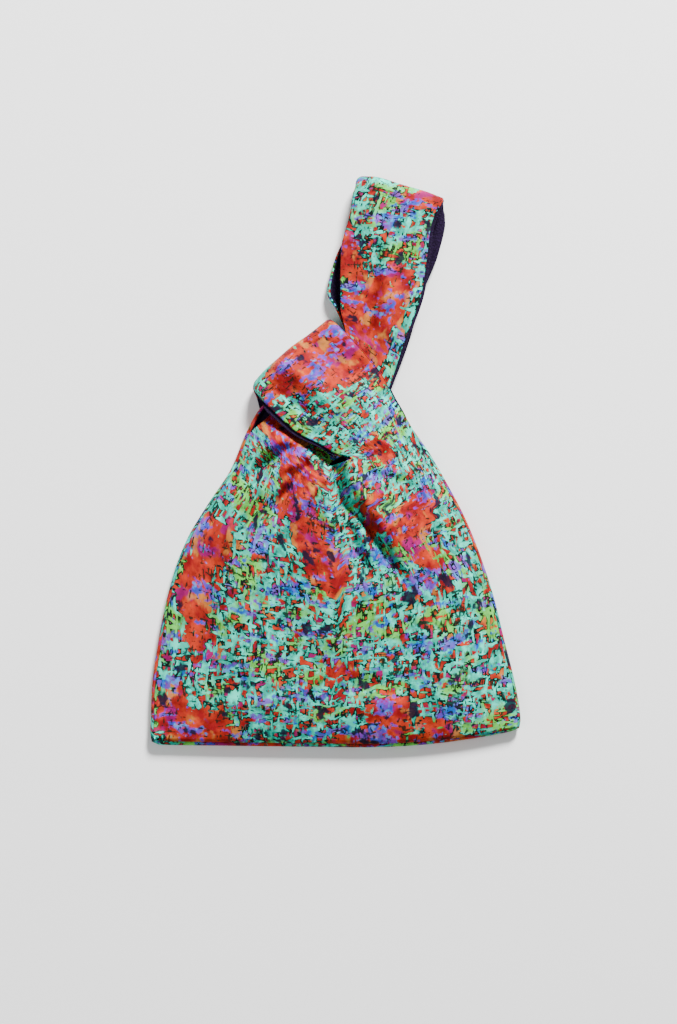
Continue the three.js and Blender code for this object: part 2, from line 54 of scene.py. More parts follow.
# Sizes of the bag in millimetres, as in the part's source
MM = 0.001
BASE_WIDTH = 261.0
BODY_HEIGHT = 201.0
LONG_REACH = 200.0
LONG_WIDTH = 63.0
SHORT_WIDTH = 75.0
SHORT_ROOT = 29.0
RING_SLACK = 15.0
PUFF = 32.0
OUTER_WALL = 1.2
LINING_WALL = 1.0
LAYER_GAP = 0.3
SEAM_GAP = 0.1
STRAP_GAP = 0.6
HAND_GAP = 6.0
SIDE_ROLL = 4.0
SEAM_ANGLE = math.radians(65)
UNROLL = 36.0
FOLD_FADE = 26.0
BACK_NECK_RISE = 4.5
SHORT_HEADING = math.radians(134)
CROSSING_RIB = 1
ARCH_POWER = 2.6

# Fineness of the meshes
ROLL_STEPS = 7
BRIDGE_STEPS = 8
COLUMNS = 62
CELL = 2.0
TURN_STEPS = 10
RIM_STEPS = 4
PEEK_STEPS = 3
EDGE_STEP = 0.002
PLAIN_STEP = 2.4
CROWDING = 1.25
SPREAD = np.linspace(0, 1, COLUMNS) ** CROWDING

# How the lining's edge curls over the silk, how far a seam's rim bulges, and up to which height
LINING_CURL = 0.35
SEAM_BULGE = 0.15
SEAM_TOP = 11.0

# Lining that shows past an edge, at the knot and at the handle's end. The edges are named by
# (is it the front, is it the long handle, is it the inner edge).
PEEKS = {
    (True, True, False): (0, 0),
    (True, True, True): (0.8, 1.5),
    (True, False, False): (0, 0),
    (True, False, True): (1.3, 3.0),
    (False, True, False): (0, 0),
    (False, True, True): (0.7, 1.5),
    (False, False, False): (0, 0.6),
    (False, False, True): (1.5, 2.0),
}

# Scale from the cut places in millimetres to the UV map in centimetres
CUT_SCALE = 0.1

# How the print leans at the throat: slope, share of the lost width, and where it has faded out
GRAIN_SLOPE = 0.42
GRAIN_LEAN = 0.45
GRAIN_FADE = 70.0

# Camera, floor and lights, in metres
AIM = (0.0021, -0.0347, 0.01)
CAMERA_LENS = 85.0
CAMERA_SENSOR = 36.0
CAMERA_HEIGHT = 1.69
FLOOR_DROP = 0.0002
FLOOR_HALF = 3.0
SKY = 0.33
LIGHTS = [
    ("key", (0.85, 2.2, 1.56), 0.68, 335.0),
    ("fill", (-1.0, -0.4, 1.2), 0.9, 9.0),
]

# Colours of the print, the lining and the floor
TEAL = (0.005, 0.31, 0.22)
MINT = (0.02, 0.58, 0.42)
LIME = (0.1, 0.42, 0.06)
PALE_MINT = (0.05, 0.62, 0.5)
CRIMSON = (0.2, 0.006, 0.008)
SCARLET = (0.4, 0.03, 0.01)
MAGENTA = (0.2, 0.003, 0.1)
ORANGE = (0.42, 0.16, 0.03)
BLUE = (0.004, 0.045, 0.38)
VIOLET = (0.14, 0.03, 0.38)
AZURE = (0.03, 0.27, 0.6)
OUTLINE_DARK = (0.003, 0.007, 0.005)
MARK_DARK = (0.008, 0.012, 0.007)
BLOT_DARK = (0.008, 0.006, 0.02)
PILE_DEEP = (0.004, 0.0015, 0.008)
PILE_PURPLE = (0.008, 0.003, 0.016)
PILE_TIP = (0.015, 0.006, 0.03)
FLOOR_PALE = (0.9, 0.9, 0.9)

# Heights of the bumps, in metres
SILK_RELIEF = 0.0006
PILE_RELIEF = 0.0008

# The box that the part's solids fill
CAD_LOW, CAD_HIGH = (np.array(corner) / MM for corner in cad_box)

# Heights of the cloths that lie on each other
CLOTH = OUTER_WALL + LAYER_GAP + LINING_WALL
LONG_BACK_LEVEL = CLOTH + STRAP_GAP
LONG_FRONT_LEVEL = LONG_BACK_LEVEL + HAND_GAP + 2 * CLOTH
SHORT_FRONT_LEVEL = LONG_FRONT_LEVEL + STRAP_GAP + CLOTH

# The roll of the back round the sides and the hem, from the seam to the flat
ROLL_TURN = SEAM_ANGLE + math.pi / 2
TURNED = ROLL_TURN * (1 - np.arange(ROLL_STEPS + 1) / ROLL_STEPS)
ROLL_INSET = SIDE_ROLL * (1 - np.sin(TURNED))
ROLL_HEIGHT = SIDE_ROLL * (1 - np.cos(TURNED))
ROLL_FLAT = SIDE_ROLL * (ROLL_TURN - TURNED)
SEAM_INSET = ROLL_INSET[0]
SEAM_HEIGHT = ROLL_HEIGHT[0]

# Ribs of the pouch as shares of its width and height: left, left of the neckline, right of it,
# right, then crown, dip, bow, lift
BODY_RIBS = np.array([
    (-0.498, 0.006, 0.001, -0.002, 0.017, -0.002, 0.498, 0.06, 0, 0, 0.02, 0),
    (-0.492, 0.07, 0.001, 0.062, 0.017, 0.062, 0.497, 0.1, 0.2, 0, 0.015, 0),
    (-0.489, 0.19, 0.001, 0.179, 0.017, 0.179, 0.487, 0.19, 0.38, 0, 0.006, 0),
    (-0.468, 0.386, 0.004, 0.386, 0.02, 0.386, 0.452, 0.379, 0.58, 0, 0, 0),
    (-0.434, 0.583, 0.004, 0.552, 0.025, 0.552, 0.426, 0.517, 0.76, 0, 0, 0),
    (-0.394, 0.721, 0.001, 0.703, 0.031, 0.697, 0.386, 0.676, 0.9, 0, 0, 0),
    (-0.339, 0.841, -0.004, 0.807, 0.036, 0.807, 0.349, 0.793, 1, 0.02, 0, 0),
    (-0.276, 0.966, -0.009, 0.893, 0.041, 0.903, 0.306, 0.9, 1, 0.07, 0, 0.35),
    (-0.235, 1.093, -0.015, 0.972, 0.044, 0.997, 0.259, 1.007, 0.92, 0.16, 0, 1),
])

# Ribs of the long handle's front: across, up, turn, width, edge, middle, inner
LONG_FRONT_RIBS = np.array([
    (-0.125, 0.115, -28, 1.087, 0, 0.1, 0.1),
    (-0.014, 0.217, -33.5, 0.947, -0.03, 0, 0),
    (0.094, 0.351, -48.5, 0.74, -0.02, 0, -0.02),
    (0.113, 0.48, -27.3, 0.8, -0.02, 0.09, -0.02),
    (0.142, 0.606, -6.3, 0.907, -0.02, 0.15, -0.03),
    (0.152, 0.719, -7, 0.951, -0.02, 0.15, -0.02),
    (0.175, 0.842, -6.3, 0.912, -0.02, 0.13, -0.02),
    (0.213, 0.96, -15.3, 0.99, 0.06, 0.1, 0.06),
])

# Ribs of the long handle's back: across, up, turn, width, level
LONG_BACK_RIBS = np.array([
    (-0.125, 0.115, -28, 1.087, 1),
    (-0.01, 0.217, -32.8, 0.964, 1),
    (0.095, 0.354, -46.8, 0.731, 1),
    (0.108, 0.477, -23.5, 0.86, 0.95),
    (0.116, 0.59, -2.4, 1.037, 0.3),
    (0.155, 0.715, 0, 1.12, 0),
    (0.193, 0.826, -2.3, 1.03, 0),
    (0.213, 0.96, -15.3, 0.99, 0),
])

# Ribs of the short handle: along, turn, width, edge, middle, inner, reveal
SHORT_RIBS = np.array([
    (0.159, 20.6, 0.76, -0.13, 0.38, 0.36, -0.08),
    (0.332, 31.3, 0.81, -0.02, 0.36, 0.28, -0.03),
    (0.491, 34.6, 0.945, 0, 0.34, 0.2, 0.01),
    (0.67, 34.7, 0.99, 0, 0.31, 0.12, 0.03),
    (0.843, 37, 1, 0, 0.24, 0.06, 0.05),
    (1, 41.5, 0.98, 0, 0.1, 0, 0),
])

# Folds in millimetres on the bag: line, half widths left and right of it, rise, and the shares
# of the line over which it fades in and out
POUCH_FOLDS = [
    ([(-55.1, 244.6), (-35, 228), (-14.9, 210.7), (5.2, 199.6)], 12, 8, -7.5, 0.25, 0.12),
    ([(-30.1, 218.3), (-50.9, 205.8), (-80, 183)], 5, 5, 4.6, 0.2, 0.6),
    ([(-27.4, 211.4), (-48.2, 196.1), (-77.3, 173.2)], 4, 4, -7.6, 0.1, 0.6),
    ([(-17.7, 207.2), (-46.8, 183.6), (-80, 158)], 5.5, 5, 5.2, 0.22, 0.6),
    ([(-40.5, 195.4), (-53.7, 185), (-70.3, 169.1)], 3, 3, -2.2, 0.3, 0.4),
    ([(-23.2, 191.3), (-38.5, 179.5), (-59.3, 163.5)], 4, 4, 2.4, 0.3, 0.5),
    ([(-14.9, 200.3), (-32.9, 177.4), (-53.7, 145.5)], 4.5, 4.5, -8.4, 0.1, 0.6),
    ([(-8, 192.7), (-24.6, 171.9), (-41.2, 145.5)], 6.5, 6, 4.6, 0.2, 0.6),
    ([(-5.9, 187.1), (-15.6, 163.5), (-26, 133.1)], 4, 4, -4.6, 0.15, 0.6),
    ([(-1.7, 192.7), (-5.2, 174.6), (-2.4, 143.5)], 5, 5, 4, 0.1, 0.5),
    ([(4.5, 203.7), (2.4, 184.3), (6.6, 170.5), (18.4, 159.4), (32.2, 140.7), (46.1, 119.2), (58.6, 94.2)],
     3, 6.5, -10.8, 0.05, 0.7),
    ([(10, 203.7), (10, 188.5), (17, 174.6), (28.8, 160.1), (39.8, 142.8), (53, 119.2), (62.7, 97)],
     14, 4, 4, 0.06, 0.7),
    ([(8, 163.5), (14.9, 137.2), (32.2, 109.5)], 3.5, 6, -6.2, 0.2, 0.5),
    ([(11.4, 166.3), (19.8, 149), (33.6, 126.1)], 4, 4, 3.8, 0.2, 0.5),
    ([(53, 133.1), (65.5, 112.3), (69.6, 70.7)], 7, 7, -4, 0.3, 0.5),
    ([(25.3, 192.7), (58.6, 158), (82.1, 112.3)], 12, 10, -3, 0.3, 0.5),
    ([(36.4, 219), (69.6, 177.4), (91.8, 126.1)], 10, 10, 2.6, 0.3, 0.4),
    ([(47.5, 227.3), (80.7, 174.6), (102.9, 105.3)], 7, 7, -2.6, 0.2, 0.4),
    ([(50.2, 112.3), (47.5, 63.8), (41.9, 11.8)], 12, 9, -3.4, 0.3, 0.3),
    ([(69.6, 105.3), (75.2, 56.8), (69.6, 9.7)], 12, 12, 2.6, 0.3, 0.3),
    ([(-3.8, 24.9), (27.4, 30.5), (65.5, 26.3)], 8, 8, 1.6, 0.3, 0.3),
    ([(-9.4, 40.2), (23.9, 43), (66.9, 43)], 8, 8, -1.6, 0.3, 0.3),
    ([(-78.7, 153.8), (-90.4, 98.4), (-96.7, 43)], 12, 10, -3.2, 0.3, 0.3),
    ([(-55.1, 146.9), (-66.2, 91.5), (-69, 36)], 12, 12, 3, 0.3, 0.3),
    ([(-31.5, 135.8), (-35.7, 84.5), (-31.5, 43)], 12, 12, -2.4, 0.3, 0.3),
    ([(-105, 146.9), (-113.3, 98.4), (-117.5, 43)], 8, 8, 1.8, 0.3, 0.3),
    ([(100.1, 105.3), (108.5, 63.8), (114, 22.2)], 9, 9, -2, 0.3, 0.3),
    ([(3.1, 133.1), (-3.8, 91.5), (0.3, 49.9)], 12, 12, 1.8, 0.3, 0.3),
    ([(-87, 27.7), (-59.3, 31.9), (-24.6, 27.7)], 9, 9, 1.4, 0.3, 0.3),
]
HANDLE_FOLDS = [
    ([(21.1, 274.4), (26.7, 313.2), (29.5, 364.5)], 7, 8, -6.4, 0.2, 0.4),
    ([(19.8, 276), (23, 305), (26.5, 338)], 2.5, 3.5, -2.6, 0.15, 0.4),
    ([(33.6, 274.4), (40.5, 306.3), (43.3, 324.3)], 6, 6, 2.6, 0.3, 0.3),
    ([(19.8, 313.2), (23.9, 347.9), (26.7, 385.3)], 5, 5, 2, 0.3, 0.3),
    ([(37.8, 329.9), (41.9, 361.7), (44.7, 389.5)], 5, 5, -2.2, 0.3, 0.3),
    ([(53, 336.8), (58.6, 363.1), (61.3, 385.3)], 6, 6, 1.8, 0.3, 0.3),
    ([(7.3, 304.9), (10, 341), (18.4, 382.5)], 4, 5, -1.4, 0.3, 0.3),
]
BAND_FOLDS = [
    ([(29.5, 260.6), (6.6, 285.5), (-14.2, 307)], 6, 6, 2.4, 0.3, 0.1),
    ([(19.8, 250.9), (-5.2, 271.7), (-30.1, 289)], 7, 7, -3.2, 0.3, 0.1),
    ([(8, 230.8), (-16.3, 249.5), (-39.8, 268.9)], 6, 6, 2.2, 0.3, 0.1),
    ([(46.1, 230.1), (28.1, 254.3), (13.5, 273)], 6, 6, -2, 0.3, 0.3),
    ([(-3.8, 219), (-24.6, 235.6), (-48.2, 255)], 5, 5, -2, 0.3, 0.1),
    ([(44.7, 207.9), (25.3, 221.8), (3.1, 241.2)], 6, 6, -1.8, 0.3, 0.3),
]

# Powers with which ridges and valleys fall off beside their lines
RIDGE_POWER = 2
VALLEY_POWER = 1.5

# Wrinkles that run from the throat over the pouch: waves round it, turn in radians, height
RAYS = [(9.0, 0.4, 0.7), (15.0, 2.1, 0.5), (24.0, 4.4, 0.3)]
RAY_NEAR = 12.0
RAY_FAR = 75.0

# How far a handle's folded end bulges out at five places across it, and where that starts
END_BULGES = {True: (-0.8, 2.2, 1.6, 1.4, 0), False: (-2.2, -1.2, 0.6, 0.6, -1.5)}
END_REACH = 30.0

# Radii of a folded end's outer and inner corner, and the length over which the lining's edge
# runs out there
END_CORNERS = {True: (3.5, 1.5), False: (3.5, 6.0)}
LINING_TIP = 4.0

# Radii of the pouch's corners at the hem, on the long and on the short handle's side, and the
# share of its height over which the side's direction is taken there
HEM_CORNERS = {True: 5.5, False: 2.5}
CORNER_REACH = 0.08

# How far the side's roll stays on the back of the long handle: at the pouch's top, then its ribs
LONG_ROLLED = (1, 0.9, 0.7, 0.7, 0.85, 0.9, 0.75, 0.3, 0)
LONG_OPENED = (1, 4, 2.2, 0.4, 0, 0, 0, 0, 0)
CUP_RISE = 3.6
CUP_REACH = 12.0
CUPPED = (0, 0, 0, 0.2, 0.6, 1, 0.9, 0.5, 0)

# Places across a strip at which its heights are given
NODES = np.array([0, 0.25, 0.5, 0.75, 1])


def limited_cubic(stops, values, at):
    """Smooth curve through values (last axis) at rising stops, read at places (last axis of at).

    Between two stops it is the cubic of both ends' values and slopes, and a slope is the harmonic
    mean of the chords beside it, or zero where they differ in sign, so it never swings past them.
    """
    steps = np.diff(stops)
    chords = np.diff(values, axis=-1) / steps
    before = np.concatenate([chords[..., :1], chords], -1)
    after = np.concatenate([chords, chords[..., -1:]], -1)
    agree = before * after > 0
    slopes = np.where(agree, 2 * before * after / np.where(agree, before + after, 1), 0)
    i = np.clip(np.searchsorted(stops, at, side="left") - 1, 0, len(stops) - 2)
    lead = np.broadcast_shapes(values.shape[:-1], at.shape[:-1])

    def pick(table, index):
        wide = np.broadcast_to(table, lead + table.shape[-1:])
        return np.take_along_axis(wide, np.broadcast_to(index, lead + index.shape[-1:]), -1)

    step = steps[i]
    f = (at - stops[i]) / step
    low, high = pick(values, i), pick(values, i + 1)
    rise = 3 * f**2 - 2 * f**3
    leaving = f * (1 - f) ** 2 * step * pick(slopes, i)
    arriving = f**2 * (f - 1) * step * pick(slopes, i + 1)
    return low + rise * (high - low) + leaving + arriving


def smooth_step(f):
    """0 below 0, 1 above 1, and between them three times the square less twice the cube."""
    held = np.clip(f, 0, 1)
    return held * held * (3 - 2 * held)


def unit(vectors):
    """Vectors along the last axis, each divided by its length."""
    return vectors / np.linalg.norm(vectors, axis=-1, keepdims=True)


def on_body(places):
    """Shares of the hem's width and the pouch's height as millimetres."""
    return np.asarray(places) * (BASE_WIDTH, BODY_HEIGHT)


LEFT, MID_LEFT, MID_RIGHT, RIGHT = (on_body(BODY_RIBS[:, i:i + 2]) for i in (0, 2, 4, 6))
CROWN, DIP, BOW, LIFT = BODY_RIBS[:, 8:].T
THROAT = (MID_LEFT[-1] + MID_RIGHT[-1]) / 2
RIB_HEIGHTS = (LEFT[:, 1] + RIGHT[:, 1]) / 2
BODY_SPAN = RIB_HEIGHTS[-1] - RIB_HEIGHTS[0]
BODY_STOPS = (RIB_HEIGHTS - RIB_HEIGHTS[0]) / BODY_SPAN


def rib_ends(middles, turns, widths):
    """Left and right ends of ribs: the middle less and plus half the width along the slope."""
    slopes = np.radians(turns)
    half = np.stack([np.cos(slopes), np.sin(slopes)], -1) * widths[:, None] / 2
    return middles - half, middles + half


def handle_heights(level, edge, middle, inner):
    """Heights over a handle: its level plus a smooth curve through both edges and the middle."""
    ends = np.stack([edge, middle, inner], -1)
    return level + limited_cubic(np.array([0, 0.5, 1]), ends, NODES) * PUFF


class Strip:
    """Half of a panel: the pouch from the side to the middle, and the handle that goes on from it."""

    def __init__(self, is_long, is_front):
        outer = LEFT if is_long else RIGHT
        inner = (MID_LEFT if is_long else MID_RIGHT).copy()
        inner[:, 1] += 0 if is_front else LIFT * BACK_NECK_RISE
        reach = np.linalg.norm(outer - inner, axis=1) / np.linalg.norm(LEFT - RIGHT, axis=1)
        if is_front:
            arch = 1 - np.abs(1 - 2 * reach[:, None] * NODES) ** ARCH_POWER
            drop = DIP[:, None] * PUFF * NODES**2 if is_long else 0
            heights = SEAM_HEIGHT + CROWN[:, None] * (PUFF - SEAM_HEIGHT) * arch - drop
        else:
            lift = LIFT * LONG_BACK_LEVEL if is_long else 0 * LIFT
            heights = lift[:, None] * (NODES > 0)
        handle = self.long_handle(is_front) if is_long else self.short_handle(is_front)
        self.ribs = [np.concatenate(pair) for pair in zip((outer, inner, heights), handle)]
        bow = 0 * BOW if is_long else BOW * BODY_HEIGHT
        self.bows = np.concatenate([bow, np.zeros(len(handle[0]))])
        self.is_long = is_long
        self.is_front = is_front

    @staticmethod
    def long_handle(is_front):
        """Ends and heights of the long handle's ribs."""
        ribs = LONG_FRONT_RIBS if is_front else LONG_BACK_RIBS
        middles = ribs[:, :2] * LONG_REACH + THROAT
        left, right = rib_ends(middles, ribs[:, 2], ribs[:, 3] * LONG_WIDTH)
        if is_front:
            return left, right, handle_heights(LONG_FRONT_LEVEL, ribs[:, 4], ribs[:, 5], ribs[:, 6])
        return left, right, ribs[:, 4:5] * LONG_BACK_LEVEL * np.ones(len(NODES))

    @staticmethod
    def short_handle(is_front):
        """Ends and heights of the short handle's ribs, which stand along one line."""
        reach = SHORT_ROOT + LONG_FRONT_RIBS[CROSSING_RIB, 3] * LONG_WIDTH + RING_SLACK
        start = (MID_RIGHT[-1] + RIGHT[-1]) / 2
        heading = np.array([math.cos(SHORT_HEADING), math.sin(SHORT_HEADING)])
        middles = start + SHORT_RIBS[:, :1] * reach * heading
        left, right = rib_ends(middles, SHORT_RIBS[:, 1], SHORT_RIBS[:, 2] * SHORT_WIDTH)
        if is_front:
            edge, middle, inner = SHORT_RIBS[:, 3], SHORT_RIBS[:, 4], SHORT_RIBS[:, 5]
            return right, left, handle_heights(SHORT_FRONT_LEVEL, edge, middle, inner)
        left = left + unit(left - right) * SHORT_RIBS[:, 6:7] * SHORT_WIDTH
        return right, left, np.zeros((len(SHORT_RIBS), len(NODES)))

    def set_stops(self, stops):
        """Distances along the strip of its ribs, shared by front and back."""
        self.stops = stops
        self.end = stops[-1]

    def edge(self, which, along):
        """Outer (0) or inner (1) edge at distances along the strip."""
        return limited_cubic(self.stops, self.ribs[which].T, along).T

    def heading(self):
        """Direction in plan from the last rib but one to the last."""
        middles = (self.ribs[0] + self.ribs[1])[-2:] / 2
        return unit(middles[1] - middles[0])

    def width(self, along):
        """Distance between the two edges."""
        return np.linalg.norm(self.edge(0, along) - self.edge(1, along), axis=-1)

    def points(self, along, distance):
        """Points at distances in from the outer edge, one row of them for each along."""
        outer, inner = self.edge(0, along), self.edge(1, along)
        share = distance / self.width(along)[:, None]
        plan = outer[:, None] + share[..., None] * (inner - outer)[:, None]
        bow = limited_cubic(self.stops, self.bows, along)
        plan[..., 1] -= bow[:, None] * 4 * share * (1 - share)
        node_heights = limited_cubic(self.stops, self.ribs[2].T, along).T
        height = limited_cubic(NODES, node_heights, share)
        return np.concatenate([plan, height[..., None]], -1)


def strip_stops(strip):
    """Stops of a front strip: shares of the pouch's height, then middle to middle in the handle."""
    middles = (strip.ribs[0] + strip.ribs[1]) / 2
    gaps = np.linalg.norm(np.diff(middles[len(BODY_STOPS) - 1:], axis=0), axis=1) / BODY_SPAN
    return np.concatenate([BODY_STOPS, BODY_STOPS[-1] + np.cumsum(gaps)])


STRIPS = {}
for long_side in (True, False):
    front, back = Strip(long_side, True), Strip(long_side, False)
    front.set_stops(strip_stops(front))
    back.set_stops(front.stops)
    STRIPS[long_side] = (front, back)
LONG_SEAM_HEIGHT = (LONG_FRONT_LEVEL + LONG_FRONT_RIBS[-1, 4] * PUFF) / 2
SHORT_SEAM_HEIGHT = SHORT_FRONT_LEVEL / 2


def closedness(along):
    """1 along the side seam, falling smoothly to 0 where the side lies flat past the seam's end."""
    return 1 - smooth_step((along - 1) * BODY_SPAN / UNROLL)


def fold_rise(folds, plan):
    """Sum of ridges and valleys, each highest or deepest on its line.

    Beside the line it falls off as e to the minus of a power of the distance over the half width,
    with one power for the rounder ridges and one for the valleys. The half width is another one
    left of the line than right of it, and the rise fades in and out along the line.
    """
    total = np.zeros(plan.shape[:-1])
    for line, left_width, right_width, rise, fade_in, fade_out in folds:
        line = np.array(line)
        runs = np.diff(line, axis=0)
        lengths = np.linalg.norm(runs, axis=1)
        done = np.concatenate([[0], np.cumsum(lengths)])
        nearest = np.full(total.shape, np.inf)
        aside, place = np.zeros(total.shape), np.zeros(total.shape)
        for start, run, length, before in zip(line, runs, lengths, done):
            offset = plan - start
            along = np.clip(offset @ run / length**2, 0, 1)
            distance = np.linalg.norm(offset - along[..., None] * run, axis=-1)
            nearer = distance < nearest
            nearest = np.where(nearer, distance, nearest)
            aside = np.where(nearer, run[0] * offset[..., 1] - run[1] * offset[..., 0], aside)
            place = np.where(nearer, (before + along * length) / done[-1], place)
        width = np.where(aside > 0, left_width, right_width)
        fade = smooth_step(place / fade_in) * smooth_step((1 - place) / fade_out)
        power = RIDGE_POWER if rise > 0 else VALLEY_POWER
        total += rise * fade * np.exp(-(nearest / width)**power)
    return total


def ray_rise(plan):
    """Wrinkles round the throat, faded in near it and out far off.

    Each is its height times the cosine of its waves times the angle plus its turn.
    """
    offset = plan - THROAT
    reach = np.linalg.norm(offset, axis=-1)
    angle = np.arctan2(offset[..., 1], offset[..., 0])
    waves = sum(height * np.cos(count * angle + turn) for count, turn, height in RAYS)
    near = smooth_step((reach - RAY_NEAR) / RAY_NEAR)
    far = smooth_step((reach - RAY_FAR / 2) / RAY_FAR)
    return waves * (near * (1 - far))


def pouch_rise(plan):
    """All folds and wrinkles of the pouch."""
    return fold_rise(POUCH_FOLDS, plan) + ray_rise(plan)


def handle_curve(strip, values, along):
    """A value for the pouch's top and each rib of a handle, read along the strip."""
    stops = strip.stops[len(BODY_STOPS) - 1:]
    return limited_cubic(stops, np.array(values, float), np.maximum(along, stops[0]))


def turned_over(strip, along, height, seam_height):
    """Heights near a handle's end fall to its seam along a quarter circle."""
    left = (strip.end - along) * BODY_SPAN / seam_height
    reach = np.clip(left, 0, 1)[:, None]
    return seam_height + (height - seam_height) * np.sqrt(1 - (1 - reach) ** 2)


def front_points(strip, along, share):
    """Front of a strip, with its folds.

    Past the seam's end the long one's edge stands in from the roll.
    """
    inset = (SEAM_INSET * closedness(along))[:, None]
    if strip.is_long:
        opened = handle_curve(strip, LONG_OPENED, along)
        inset = np.where(along <= 1, SEAM_INSET, SEAM_INSET * opened)[:, None]
    distance = inset + share * (strip.width(along)[:, None] - inset)
    points = strip.points(along, distance)
    closed = (along <= 1)[:, None] & (share == 0)
    points[..., 2] = np.where(closed, SEAM_HEIGHT, points[..., 2])
    fade = smooth_step((along * BODY_SPAN / FOLD_FADE))[:, None] * smooth_step(distance / FOLD_FADE)
    fade = np.where((along <= 1)[:, None], fade, 1)
    plan = points[..., :2]
    own = fold_rise(HANDLE_FOLDS if strip.is_long else BAND_FOLDS, plan)
    handle_share = smooth_step((along - 1) * BODY_SPAN / UNROLL)[:, None]
    points[..., 2] += fade * (pouch_rise(plan) * (1 - handle_share) + own * handle_share)
    return points


def back_spread(widths):
    """Distances of the back's columns where it lies flat: short steps, then even ones to the end."""
    near = PLAIN_STEP * np.arange(ROLL_STEPS + 1)
    shares = (np.arange(COLUMNS - ROLL_STEPS - 1) + 1) / (COLUMNS - ROLL_STEPS - 1)
    far = near[-1] + shares * (widths[..., None] - near[-1])
    return np.concatenate([np.broadcast_to(near, widths.shape + near.shape), far], -1)


def back_points(strip, along):
    """Back of a handle: the outer columns keep the side's roll, and the long one's inner edge cups up.

    The cup's height falls with the square of the distance from the inner edge.
    """
    closed = closedness(along)[:, None]
    if strip.is_long:
        closed = handle_curve(strip, LONG_ROLLED, along)[:, None]
    width = strip.width(along)
    distance = back_spread(width)
    distance[:, :ROLL_STEPS + 1] = ROLL_FLAT + closed * (ROLL_INSET - ROLL_FLAT)
    points = strip.points(along, distance)
    points[:, :ROLL_STEPS + 1, 2] += ROLL_HEIGHT * closed
    if strip.is_long:
        near = np.clip(1 - (width[:, None] - distance) / CUP_REACH, 0, 1)
        points[..., 2] += CUP_RISE * handle_curve(strip, CUPPED, along)[:, None] * near**2
    return points


def back_body(strip, rows):
    """Back of the pouch: near a corner the rolls of the side and the hem meet in a mitre."""
    row, column = np.indices((len(rows), COLUMNS))
    on_hem = (row <= column) & (row <= ROLL_STEPS)
    on_side = (column <= row) & (column <= ROLL_STEPS)
    roll = np.clip(np.minimum(row, column), 0, ROLL_STEPS)
    along = np.where(on_hem, ROLL_INSET[roll] / BODY_SPAN, rows[:, None])
    widths = strip.width(along.ravel()).reshape(along.shape)
    distance = np.take_along_axis(back_spread(widths), column[..., None], -1)[..., 0]
    distance = np.where(on_side, ROLL_INSET[roll], distance)
    points = strip.points(along.ravel(), distance.reshape(-1, 1)).reshape(row.shape + (3,))
    points[..., 2] += np.where(on_hem | on_side, ROLL_HEIGHT[roll], 0)
    return points


def body_rows():
    """Rows of the pouch from the hem's seam to the neckline: the roll's rows, then even ones."""
    near = PLAIN_STEP * np.arange(ROLL_STEPS + 1)
    near[0] = SEAM_INSET
    count = round((BODY_SPAN - near[-1]) / CELL)
    far = near[-1] + (np.arange(count) + 1) / count * (BODY_SPAN - near[-1])
    return np.concatenate([near, far]) / BODY_SPAN


def handle_rows(strip, seam_height):
    """Rows of a handle: even ones, then ones at even angles of the quarter circle to the seam."""
    turn = seam_height / BODY_SPAN
    count = round((strip.end - turn - 1) * BODY_SPAN / CELL)
    plain = 1 + (np.arange(count) + 1) / count * (strip.end - turn - 1)
    angles = (np.arange(TURN_STEPS) + 1) * math.pi / 2 / TURN_STEPS
    return np.concatenate([plain, strip.end - turn * (1 - np.sin(angles))])


def square_out(edge, sign):
    """Outward direction in plan, square to the step between the two points of each pair."""
    run = edge[1] - edge[0]
    return unit(np.stack([run[..., 1], -run[..., 0]], -1) * sign)


def sewn(points, flat, side):
    """Moves seam points half a gap apart, and gives the direction that both panels share there."""
    length = np.linalg.norm(flat, axis=-1, keepdims=True)
    rise, run = math.sin(SEAM_ANGLE), math.cos(SEAM_ANGLE)
    apart = np.concatenate([-flat / length * rise, np.full(length.shape, run)], -1)
    direction = np.concatenate([flat * run, np.full(length.shape, rise)], -1)
    return points + apart * side * SEAM_GAP / 2, direction


def round_hem_corner(strip, points):
    """Pulls the pouch's corner in to a circle.

    Within the radius of both edges, the offset from the circle's centre is scaled by its larger
    part over its length, which turns squares round the centre into circles.
    """
    radius = HEM_CORNERS[strip.is_long]
    foot = strip.edge(0, np.zeros(1))[0]
    up = strip.edge(0, np.array([CORNER_REACH]))[0]
    across = strip.edge(1, np.zeros(1))[0]
    frame_axes = np.stack([unit(across - foot), unit(up - foot)])
    corner = points[0, 0, :2].copy()
    inward = radius - (points[..., :2] - corner) @ np.linalg.inv(frame_axes)
    near = (inward > 0).all(-1)
    held = np.where(near[..., None], inward, 1)
    scale = held.max(-1) / np.linalg.norm(held, axis=-1)
    moved = corner + (radius - held * scale[..., None]) @ frame_axes
    points[..., :2] = np.where(near[..., None], moved, points[..., :2])


